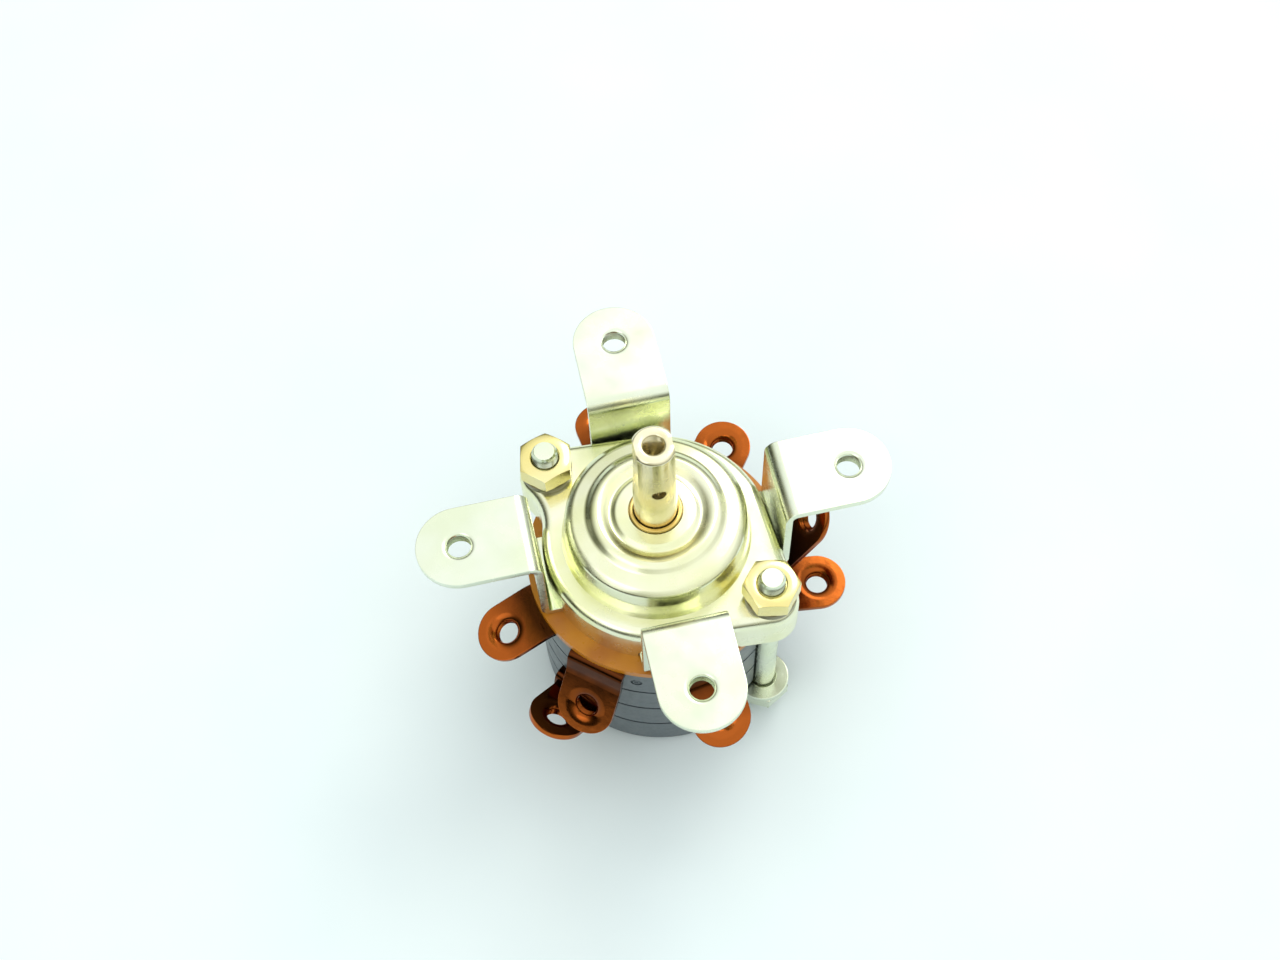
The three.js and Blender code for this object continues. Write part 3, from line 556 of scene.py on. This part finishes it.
cover = round_rim(lobed_prism(0, PLATE_TOP, FLANGE_TOP), FLANGE_TOP,
                  FLANGE_ROUND, FLANGE_ROUND_STEPS)
combine(cover, dome(0), "UNION")
inside = lobed_prism(COVER_SHEET, PLATE_TOP - PAST, FLANGE_TOP - COVER_SHEET)
combine(cover, inside, "DIFFERENCE")
combine(cover, dome(COVER_SHEET), "DIFFERENCE")
bush_hole = SHAFT_RADIUS + 0.8
combine(cover, bar(bush_hole, FLANGE_TOP, DOME_TOP + PAST), "DIFFERENCE")
EAR_WIDTH = 11.8
FRAME_SHEET = 1.1
notch, reach = EAR_WIDTH / 2 + SLOT_SIDE, COVER_RADIUS + PAST
notch_height = (PLATE_TOP - PAST, PLATE_TOP + FRAME_SHEET + RUNNING)
combine(cover, box((-reach, reach), (-notch, notch), notch_height), "DIFFERENCE")
combine(cover, box((-notch, notch), (-reach, reach), notch_height), "DIFFERENCE")
for hole in on_studs(lambda x, y: bar(BOLT_HOLE, FLANGE_TOP - 3, FLANGE_TOP + PAST, (x, y),
                                      sides=48)):
    combine(cover, hole, "DIFFERENCE")
finish(cover, "pressed_cover", zinc_yellow, nodes=["detent_cover"])

# %% [markdown]
# ## The mounting frame
# Four ears are folded up from one cross-shaped plate that lies under the cover. Each is the same
# strip, so one is modelled and copied three times: up the skirt's side, out over a generous
# bend, and round at the end, with its tapped hole.

# %% Mounting frame
EAR_HOLE = EAR_TIP - EAR_WIDTH / 2
LEG_INNER = COVER_RADIUS + 2 * CLEAR
EAR_BEND, FOOT_BEND = 1.9, 0.5
EAR_COLLAR, EAR_COLLAR_DEPTH = 2.55, 1.2
EAR_TAP = {"minor": 1.68, "major": 1.92, "mouth": 2.4, "flare": 0.4, "depth": 2.5, "pitch": 0.6}
ring_outer = COVER_RADIUS - COVER_SHEET - CLEAR
cross_top = PLATE_TOP + FRAME_SHEET

ear = strip([(ring_outer - 6, cross_top), (LEG_INNER, cross_top), (LEG_INNER, EAR_TOP),
             (EAR_TIP, EAR_TOP)], [(2, EAR_BEND, 10), (1, FOOT_BEND, 5)],
            EAR_WIDTH, FRAME_SHEET, -1, [1])
soften(ear, 0.14)
collar_bottom = EAR_TOP - FRAME_SHEET - EAR_COLLAR_DEPTH
combine(ear, bar(EAR_COLLAR, collar_bottom, EAR_TOP - 0.5, (EAR_HOLE, 0), sides=64), "UNION")
combine(ear, move(hole_tool(**EAR_TAP), EAR_HOLE, 0, EAR_TOP), "DIFFERENCE")

mounting = bar(ring_outer, PLATE_TOP, cross_top, sides=128)
for quarter in (0, 90, 180, 270):
    only(ear)
    bpy.ops.object.duplicate()
    combine(mounting, move(bpy.context.active_object, turn=quarter), "UNION")
bpy.data.objects.remove(ear)
shaft_way = bar(SHAFT_RADIUS + CLEAR, PLATE_TOP - PAST, cross_top + PAST, sides=64)
combine(mounting, shaft_way, "DIFFERENCE")
finish(mounting, "four_ear_frame", zinc_passivate, nodes=["mounting_frame"])

# %% [markdown]
# ## The shaft
# A 6 mm bar with a chamfered, tapped end, two milled flats that run out along the cutter's
# radius, and a cross hole for a pin. The part inside the cover keeps its two flats all the way
# down, and ends in a smaller journal.

# %% Shaft
KNOB_FLAT = 2.5  # from the axis to each flat
FLAT_LENGTH, RUNOUT = 7.1, 5.5
JOURNAL = 2.0
CHAMFER = 0.35
PIN_HOLE, PIN_BELOW_TIP = 1.0, 8.5
SHAFT_TAP = {"minor": 1.42, "major": 1.66, "mouth": 1.9, "flare": 0.25, "depth": 8.75,
             "pitch": 0.5}
DOG_TOP = high("drive_dog")
CLIP_LOW = low("retaining_clip")
runout_top = SHAFT_TIP - FLAT_LENGTH
cutter_radius = (RUNOUT ** 2 + 0.5 ** 2) / (2 * 0.5)
shoulder = CLIP_LOW - 1.2
groove_low, groove_top = CLIP_LOW - 0.1, CLIP_LOW + 0.7

shaft = lathe([(0, low("shaft")), (JOURNAL, low("shaft")), (JOURNAL, shoulder),
               (SHAFT_RADIUS, shoulder), (SHAFT_RADIUS, groove_low), (JOURNAL, groove_low),
               (JOURNAL, groove_top), (SHAFT_RADIUS, groove_top),
               (SHAFT_RADIUS, SHAFT_TIP - CHAMFER), (SHAFT_RADIUS - CHAMFER, SHAFT_TIP),
               (0, SHAFT_TIP)], [(8, 0.08, 2), (9, 0.08, 2)])
for side in (-1, 1):
    inside = sorted((side * KNOB_FLAT, side * 5))
    combine(shaft, box(inside, (-5, 5), (runout_top, SHAFT_TIP + PAST)), "DIFFERENCE")
    combine(shaft, box(inside, (-5, 5), (CLIP_LOW - 3, DOG_TOP)), "DIFFERENCE")
    scoop = bar(cutter_radius, -5, 5, sides=512)
    scoop.rotation_euler = (math.pi / 2, 0, 0)
    scoop.location = (side * (KNOB_FLAT + cutter_radius) * MM, 0, runout_top * MM)
    combine(shaft, settle(scoop), "DIFFERENCE")
pin_hole = bar(PIN_HOLE, -5, 5, sides=48)
pin_hole.rotation_euler = (math.pi / 2, 0, 0)
pin_hole.location = (0, 0, (SHAFT_TIP - PIN_BELOW_TIP) * MM)
combine(shaft, settle(pin_hole), "DIFFERENCE")
combine(shaft, move(hole_tool(**SHAFT_TAP), z=SHAFT_TIP), "DIFFERENCE")
finish(shaft, "flatted_shaft", turned_steel, "rotor", ["shaft"])

BUSH_BORE, BUSH_OUTSIDE, BUSH_FLANGE, BUSH_FLANGE_THICKNESS = 3.1, 3.7, 4.9, 0.85
bush_low, bush_top = low("shaft_bush"), high("shaft_bush")
bush_shoulder = bush_low + BUSH_FLANGE_THICKNESS
bush = lathe([(BUSH_BORE, bush_low), (BUSH_FLANGE, bush_low), (BUSH_FLANGE, bush_shoulder),
              (BUSH_OUTSIDE, bush_shoulder), (BUSH_OUTSIDE, bush_top), (BUSH_BORE, bush_top),
              (BUSH_BORE, bush_low)], [(4, 0.2, 3), (5, 0.15, 2)])
finish(bush, "brass_bush", brass, nodes=["shaft_bush"])

# %% [markdown]
# ## Nuts, washers and clamp bolts
# Each bolt comes up through the end strap, past the decks, and is drawn tight by an M4 nut on a
# split washer. A hexagon nut's corners are turned off by a cone, so the hexagon is kept only
# where it lies inside a turned blank.

# %% Nuts, washers and bolts
HEX_CORNER = 7.0 / math.sqrt(3)
NUT_TURN = {"left": -11, "right": 19}
NUT_BORE, NUT_MOUTH_LOW, NUT_MOUTH_TOP = 1.9, 2.2, 2.15
WASHER_OUTSIDE, WASHER_GAP_TURN = 3.6, 35
HEAD_THICKNESS = 2.8
SHANK, THREAD_MINOR, THREAD_MAJOR, THREAD_PITCH = 1.75, 1.6, 1.85, 0.5
BOLT_POINT, BOLT_POINT_RADIUS = 0.4, 1.45


def hexagon(bottom, top, turn, x, y):
    piece = bar(HEX_CORNER, bottom, top, sides=6)
    blank = lathe([(0, bottom), (3.4, bottom), (4.2, bottom + 0.42), (4.2, top - 0.42),
                   (3.4, top), (0, top)])
    combine(piece, blank, "INTERSECT")
    piece.rotation_euler = (0, 0, math.radians(turn))
    piece.location = (x * MM, y * MM, 0)
    return settle(piece)


for side, angle in STUD_ANGLES.items():
    x, y = (STUD_CIRCLE * f(math.radians(angle)) for f in (math.cos, math.sin))
    nut = hexagon(NUT_LOW, NUT_TOP, NUT_TURN[side], x, y)
    mouth = lathe([(0, NUT_LOW - PAST), (NUT_MOUTH_LOW, NUT_LOW - PAST),
                   (NUT_MOUTH_LOW, NUT_LOW + 0.05), (NUT_BORE, NUT_LOW + 0.35),
                   (NUT_BORE, NUT_TOP - 0.4), (NUT_MOUTH_TOP, NUT_TOP + 0.02),
                   (NUT_MOUTH_TOP, NUT_TOP + PAST), (0, NUT_TOP + PAST)], steps=64)
    combine(nut, move(mouth, x, y), "DIFFERENCE")
    soften(nut, 0.1, 2, 30)
    finish(nut, f"plated_nut_{side}", zinc_golden, nodes=[f"hex_nut_{side}"])

    washer_low, washer_top = low(f"spring_washer_{side}"), high(f"spring_washer_{side}")
    washer_way = (washer_low - PAST, washer_top + PAST)
    washer = bar(WASHER_OUTSIDE, washer_low, washer_top)
    combine(washer, bar(BOLT_HOLE, *washer_way, sides=64), "DIFFERENCE")
    split = box((0, 7), (-0.25, 0.25), washer_way)
    combine(washer, move(split, turn=angle + WASHER_GAP_TURN), "DIFFERENCE")
    soften(washer, 0.12)
    move(washer, x, y)
    finish(washer, f"split_washer_{side}", spring_steel,
           nodes=[f"spring_washer_{side}"])

    rod = lathe([(0, HEAD_LOW + 1), (SHANK, HEAD_LOW + 1), (SHANK, PLATE_TOP)]
                + thread(THREAD_MINOR, THREAD_MAJOR, PLATE_TOP + 0.1, STUD_TIP + 0.1,
                         THREAD_PITCH)
                + [(BOLT_POINT_RADIUS, STUD_TIP + BOLT_POINT), (0, STUD_TIP + BOLT_POINT)],
                steps=64)
    bolt = hexagon(HEAD_LOW, HEAD_LOW + HEAD_THICKNESS, 0, 0, 0)
    soften(bolt, 0.1, 2, 30)
    combine(bolt, rod, "UNION")
    move(bolt, x, y)
    finish(bolt, f"clamp_bolt_{side}", zinc_passivate, nodes=[f"stud_bolt_{side}"])

# %% [markdown]
# ## The end strap
# The strap runs under the stack from bolt to bolt, with its ends folded up and out, so that the
# bolts pull on it outside the decks.

# %% End strap
STRAP_WIDTH, STRAP_SHEET, STRAP_BEND = 7.8, 1.1, 0.9
STRAP_HOLE = 1.95
strap_ear = high("end_strap") - STRAP_SHEET / 2
strap_leg = STUD_CIRCLE - HEX_CORNER - CLEAR - STRAP_SHEET / 2
strap_tip = STUD_CIRCLE + STRAP_WIDTH / 2
strap_line = [(-strap_tip, strap_ear), (-strap_leg, strap_ear), (-strap_leg, STRAP_SHEET / 2),
              (strap_leg, STRAP_SHEET / 2), (strap_leg, strap_ear), (strap_tip, strap_ear)]
end_strap = strip(strap_line, [(i, STRAP_BEND, 6) for i in (1, 2, 3, 4)], STRAP_WIDTH,
                  STRAP_SHEET, 0, [1, -1])
for end in (-1, 1):
    hole = bar(STRAP_HOLE, strap_ear - 2, strap_ear + 2, (end * STUD_CIRCLE, 0), sides=48)
    combine(end_strap, hole, "DIFFERENCE")
soften(end_strap, 0.16)
move(end_strap, turn=STUD_ANGLES["left"])
finish(end_strap, "folded_end_strap", zinc_passivate, nodes=["end_strap"])

# %% [markdown]
# ## Terminals
# Eight copper terminals are clamped between the decks. Each is a strip folded where it leaves
# the stack, some with a short steep drop first, and has a dished and tapped hole for an M4 screw.
# The table gives each one's deck, its direction round the shaft in degrees, the length and slope
# of the drop, and then the slope and the distance from the last fold to the hole. A negative
# slope rises.

# %% Terminals
LUG_WIDTH, LUG_SHEET, LUG_FOLD = 8.6, 0.9, 0.7
LUG_BEND = WAFER_RADIUS + 0.9
LUG_TAP = {"minor": 1.6, "major": 1.84, "mouth": 3.15, "flare": 0.75, "depth": 2.25,
           "pitch": 0.5}
COLLAR_DEPTH = 0.9
TONGUE_HALF = 2.2
TERMINALS = {
    "terminal_1": ("wafer_1", -166.5, 0, 0, 19, 5.4),
    "terminal_2": ("wafer_1", -130, 3.0, 78, 54, 4.9),
    "terminal_3": ("wafer_1", -81.2, 2.0, 70, 35, 5.5),
    "terminal_4": ("wafer_1", 96.9, 0, 0, 11, 5.5),
    "terminal_5": ("wafer_2", 4.5, 0, 0, -58, 8.0),
    "terminal_6": ("wafer_2", 53.5, 0, 0, -3, 5.6),
    "terminal_7": ("wafer_3", -7, 0, 0, 0, 5.2),
    "terminal_8": ("wafer_3", -141, 3.0, 78, -31, 5.1),
}


def down(start, length, slope):
    """The point a given length further out and down a slope."""
    angle = math.radians(slope)
    return start[0] + length * math.cos(angle), start[1] - length * math.sin(angle)


def terminal(top, turn, knee, knee_slope, slope, reach):
    """One terminal whose upper face is at height top, without its tongue."""
    middle = top - LUG_SHEET / 2
    path = [(WAFER_RADIUS - 2.2, middle), (LUG_BEND, middle)]
    if knee:
        path.append(down(path[-1], knee, knee_slope))
    hole = down(path[-1], reach, slope)
    path.append(down(hole, LUG_WIDTH / 2, slope))
    bends = [(i, LUG_FOLD, 6) for i in reversed(range(1, len(path) - 1))]
    piece = fold(path, bends)
    soften(piece, 0.12)
    collar = lathe([(0, -LUG_SHEET - COLLAR_DEPTH), (2.4, -LUG_SHEET - COLLAR_DEPTH),
                    (2.7, -LUG_SHEET), (3.2, -LUG_SHEET / 2), (0, -LUG_SHEET / 2)],
                   [(1, 0.2, 3), (2, 0.3, 3)], 64)
    above = down(hole, LUG_SHEET / 2, slope - 90)
    combine(piece, move(collar, above[0], 0, above[1], slope), "UNION")
    drill = hole_tool(**LUG_TAP)
    combine(piece, move(drill, above[0], 0, above[1], slope), "DIFFERENCE")
    return move(piece, turn=turn)


def fold(path, bends):
    """The folded strip of one terminal, its last stretch rounded at the end."""
    piece = line(path, bends)
    bpy.ops.mesh.select_all(action="SELECT")
    bpy.ops.transform.translate(value=(0, -LUG_WIDTH / 2 * MM, 0))
    bpy.ops.mesh.extrude_region_move(TRANSFORM_OT_translate={"value": (0, LUG_WIDTH * MM, 0)})
    tip = Vector((path[-1][0] * MM, 0, path[-1][1] * MM))
    select(piece, lambda v: abs((Vector((v.co.x, 0, v.co.z)) - tip).length) < 1e-6, "verts")
    bpy.ops.mesh.bevel(offset=LUG_WIDTH * 0.4995 * MM, segments=20, affect="VERTICES")
    bpy.ops.mesh.select_all(action="SELECT")
    bpy.ops.mesh.remove_doubles(threshold=1e-6)
    bpy.ops.mesh.normals_make_consistent(inside=False)
    bpy.ops.object.mode_set(mode="OBJECT")
    return modify(piece, "SOLIDIFY", thickness=LUG_SHEET * MM, offset=0, use_even_offset=True)


for name, (deck, turn, knee, knee_slope, slope, reach) in TERMINALS.items():
    lug = terminal(high(deck), turn, knee, knee_slope, slope, reach)
    tongue = box((9.8, WAFER_RADIUS - 1.9), (-TONGUE_HALF, TONGUE_HALF),
                 (high(deck) - LUG_SHEET, high(deck)))
    combine(lug, move(tongue, turn=turn), "UNION")
    finish(lug, f"copper_{name}", copper, nodes=[name])

# %% [markdown]
# ## Decks and insulating plate
# Each deck is a round moulded cup with a slot in its rim for every terminal. The upper rim of
# each is cut back a little, which makes the dark line between one deck and the next. The lowest
# deck closes the stack and leaves room for the strap's folded ends. The top deck carries the
# small mark of an ejector pin.

# %% Decks
DECK_FLOOR, DECK_WALL = 1.4, 4.8
CLOSING_CUP, JOURNAL_HOLE = 8, 2.1
CLAMP_HOLE = 2.05
SEAM_DEPTH, SEAM_HEIGHT = 0.7, 0.28
MARK_HEIGHT, MARK_TURN = 22.9, -112.5
SLOT_DEPTH = 0.95
for number in (1, 2, 3, 4):
    name = f"wafer_{number}"
    bottom, top = low(name), high(name)
    deck = bar(WAFER_RADIUS, bottom, top, sides=192)
    soften(deck, 0.2, 3)
    if number < 4:
        combine(deck, bar(WAFER_RADIUS - DECK_WALL, bottom + DECK_FLOOR, top + PAST), "DIFFERENCE")
        combine(deck, bar(SHAFT_RADIUS + CLEAR, bottom - PAST, top + PAST), "DIFFERENCE")
        for hole in on_studs(lambda x, y: bar(CLAMP_HOLE, bottom - PAST, top + PAST, (x, y),
                                              sides=48)):
            combine(deck, hole, "DIFFERENCE")
    else:
        combine(deck, bar(CLOSING_CUP, bottom + DECK_FLOOR, top + PAST), "DIFFERENCE")
        combine(deck, bar(JOURNAL_HOLE, bottom - PAST, top + PAST), "DIFFERENCE")
        for angle in STUD_ANGLES.values():
            gap = box((strap_leg - STRAP_SHEET / 2 - CLEAR, WAFER_RADIUS + PAST),
                      (-STRAP_WIDTH / 2 - CLEAR, STRAP_WIDTH / 2 + CLEAR),
                      (bottom - PAST, top + PAST))
            combine(deck, move(gap, turn=angle), "DIFFERENCE")
    for node, (home, turn, *_) in TERMINALS.items():
        if home == name:
            half, slot_height = LUG_WIDTH / 2 + SLOT_SIDE, (top - SLOT_DEPTH, top + PAST)
            slot = box((WAFER_RADIUS - 2.4, WAFER_RADIUS + PAST), (-half, half), slot_height)
            combine(deck, move(slot, turn=turn), "DIFFERENCE")
            tongue = box((9.5, WAFER_RADIUS - 2), (-2.4, 2.4), slot_height)
            combine(deck, move(tongue, turn=turn), "DIFFERENCE")
    seam_inside, seam_low = WAFER_RADIUS - SEAM_DEPTH, top - SEAM_HEIGHT
    seam = lathe([(seam_inside, seam_low), (WAFER_RADIUS + PAST, seam_low),
                  (WAFER_RADIUS + PAST, top + PAST), (seam_inside, top + PAST),
                  (seam_inside, seam_low)], steps=192)
    combine(deck, seam, "DIFFERENCE")
    if number == 1:
        mark = lathe([(0, -0.2), (0.3, -0.2), (0.35, -0.05), (0.5, -0.05), (0.55, -0.25),
                      (0.85, -0.25), (0.9, 1), (0, 1)], steps=32)
        mark.rotation_euler = (0, math.pi / 2, 0)
        mark.location = (WAFER_RADIUS * MM, 0, MARK_HEIGHT * MM)
        combine(deck, move(settle(mark), turn=MARK_TURN), "DIFFERENCE")
    finish(deck, f"moulded_deck_{number}", slate_phenolic, nodes=[name])

plate = bar(PLATE_RADIUS, PLATE_LOW, PLATE_TOP, sides=192)
combine(plate, bar(SHAFT_RADIUS + CLEAR, PLATE_LOW - PAST, PLATE_TOP + PAST), "DIFFERENCE")
for hole in on_studs(lambda x, y: bar(CLAMP_HOLE, PLATE_LOW - PAST, PLATE_TOP + PAST, (x, y),
                                      sides=48)):
    combine(plate, hole, "DIFFERENCE")
soften(plate, 0.08)
finish(plate, "laminate_plate", laminate_phenolic, nodes=["insulating_plate"])

# %% [markdown]
# ## The works inside
# The rotor, contacts, springs and detent are closed in and keep their CAD shapes. Each still gets
# the finish of the real piece, for anyone who takes the switch apart.

# %% Finishes for the carried-over nodes
SLOT_FINISHES = {
    "zinc_plate": zinc_passivate, "yellow_zinc": zinc_golden, "steel": turned_steel,
    "spring_steel": spring_steel, "copper": copper, "brass": brass,
    "grey_phenolic": slate_phenolic, "brown_phenolic": laminate_phenolic,
    "black_phenolic": black_phenolic,
}
slots = {part["node"]: part["material_slot"] for part in frame["record"]["subparts"]}
for name, node in frame["nodes"].items():
    node.data.materials.clear()
    node.data.materials.append(SLOT_FINISHES[slots[name]])

# %% [markdown]
# ## Studio
# The floor is a sheet of pale paper. Polished metal shows what is round it, so the light comes
# from a white sky, with a dim olive band low down that draws the dark lines on the pressing, and
# a large soft lamp high on the right, which throws the soft shadow to the left.

# %% Floor
bpy.ops.object.select_all(action="DESELECT")
bpy.ops.mesh.primitive_plane_add(size=8.0, location=(0, 0, 0))
floor = bpy.context.active_object
floor.name = "paper_floor"
paper, tree, shader, where = start_material("matt_paper", Metallic=0.0, Roughness=0.85)
two_tone(tree, shader, noise(tree, where, 40.0), "#E9F4F6", "#EDF7F8")
floor.data.materials.append(paper)


# %% Lamps
def lamp(name, place, size, power, colour):
    bpy.ops.object.select_all(action="DESELECT")
    bpy.ops.object.light_add(type="AREA", location=place)
    light = bpy.context.active_object
    light.name = name
    light.data.shape = "DISK"
    light.data.size, light.data.energy = size, power
    light.data.color = linear(colour)[:3]
    aim = Vector((0, 0, 0.02)) - Vector(place)
    light.rotation_euler = aim.to_track_quat("-Z", "Y").to_euler()


lamp("key_lamp", (0.30, 0.32, 0.55), 0.35, 1.2, "#FFFEF8")
lamp("fill_lamp", (-0.45, -0.25, 0.50), 0.50, 0.6, "#F4FAFF")

world = bpy.data.worlds.new("studio")
bpy.context.scene.world = world
world.use_nodes = True
tree = world.node_tree
tree.nodes.clear()
toward = add(tree, "ShaderNodeSeparateXYZ",
             links={"Vector": add(tree, "ShaderNodeTexCoord").outputs["Generated"]})
LEAN = 0.25  # the bright part of the sky reaches lower on the right than on the left
lean = add(tree, "ShaderNodeMath", {1: LEAN}, {0: toward.outputs["X"]}, operation="MULTIPLY")
lift = add(tree, "ShaderNodeMath", links={0: toward.outputs["Z"], 1: lean.outputs["Value"]},
           operation="ADD")
sky = add(tree, "ShaderNodeValToRGB", links={"Fac": lift.outputs["Value"]})
SKY = [(0.0, "#34362E"), (0.18, "#5C5F50"), (0.36, "#9A9D90"), (0.52, "#D2D6CE"),
       (0.72, "#FBFFFF")]
while len(sky.color_ramp.elements) < len(SKY):
    sky.color_ramp.elements.new(0.5)
for element, (place, colour) in zip(sky.color_ramp.elements, SKY):
    element.position = place
for element, (place, colour) in zip(sky.color_ramp.elements, SKY):
    element.color = linear(colour)
background = add(tree, "ShaderNodeBackground", {"Strength": 1.2}, {"Color": sky.outputs["Color"]})
add(tree, "ShaderNodeOutputWorld", links={"Surface": background.outputs["Background"]})

# A plain linear-to-sRGB view keeps the paper white and the copper saturated.
bpy.context.scene.view_settings.view_transform = "Standard"

# %% [markdown]
# ## Camera
# The camera looks steeply down at the top of the ears, a little from the left of the shaft, and
# its aim is a touch off the middle. Its three turns are written as plain matrices.

# %% Camera
ELEVATION, AZIMUTH, ROLL = math.radians(62.40), math.radians(10.90), math.radians(2.036)
PAN, TILT = math.radians(0.512), math.radians(-0.821)
DISTANCE = 236.1  # from the middle of the ears' upper faces, in millimetres
LENS = 48.81

r, e, a = ROLL, ELEVATION, AZIMUTH
orbit = Matrix(((math.cos(a), -math.sin(a), 0),
                (math.sin(a) * math.sin(e), math.cos(a) * math.sin(e), math.cos(e)),
                (-math.sin(a) * math.cos(e), -math.cos(a) * math.cos(e), math.sin(e))))
roll = Matrix(((math.cos(r), -math.sin(r), 0), (math.sin(r), math.cos(r), 0), (0, 0, 1)))
pan = Matrix(((math.cos(PAN), 0, -math.sin(PAN)), (0, 1, 0), (math.sin(PAN), 0, math.cos(PAN))))
tilt = Matrix(((1, 0, 0), (0, math.cos(TILT), -math.sin(TILT)),
               (0, math.sin(TILT), math.cos(TILT))))

bpy.ops.object.select_all(action="DESELECT")
bpy.ops.object.camera_add()
camera = bpy.context.active_object
camera.matrix_world = (tilt @ pan @ roll @ orbit).transposed().to_4x4()
camera.location = orbit[2] * DISTANCE * MM + Vector((0, 0, EAR_TOP * MM))
camera.data.lens = LENS
camera.data.clip_start = 0.01
bpy.context.scene.camera = camera
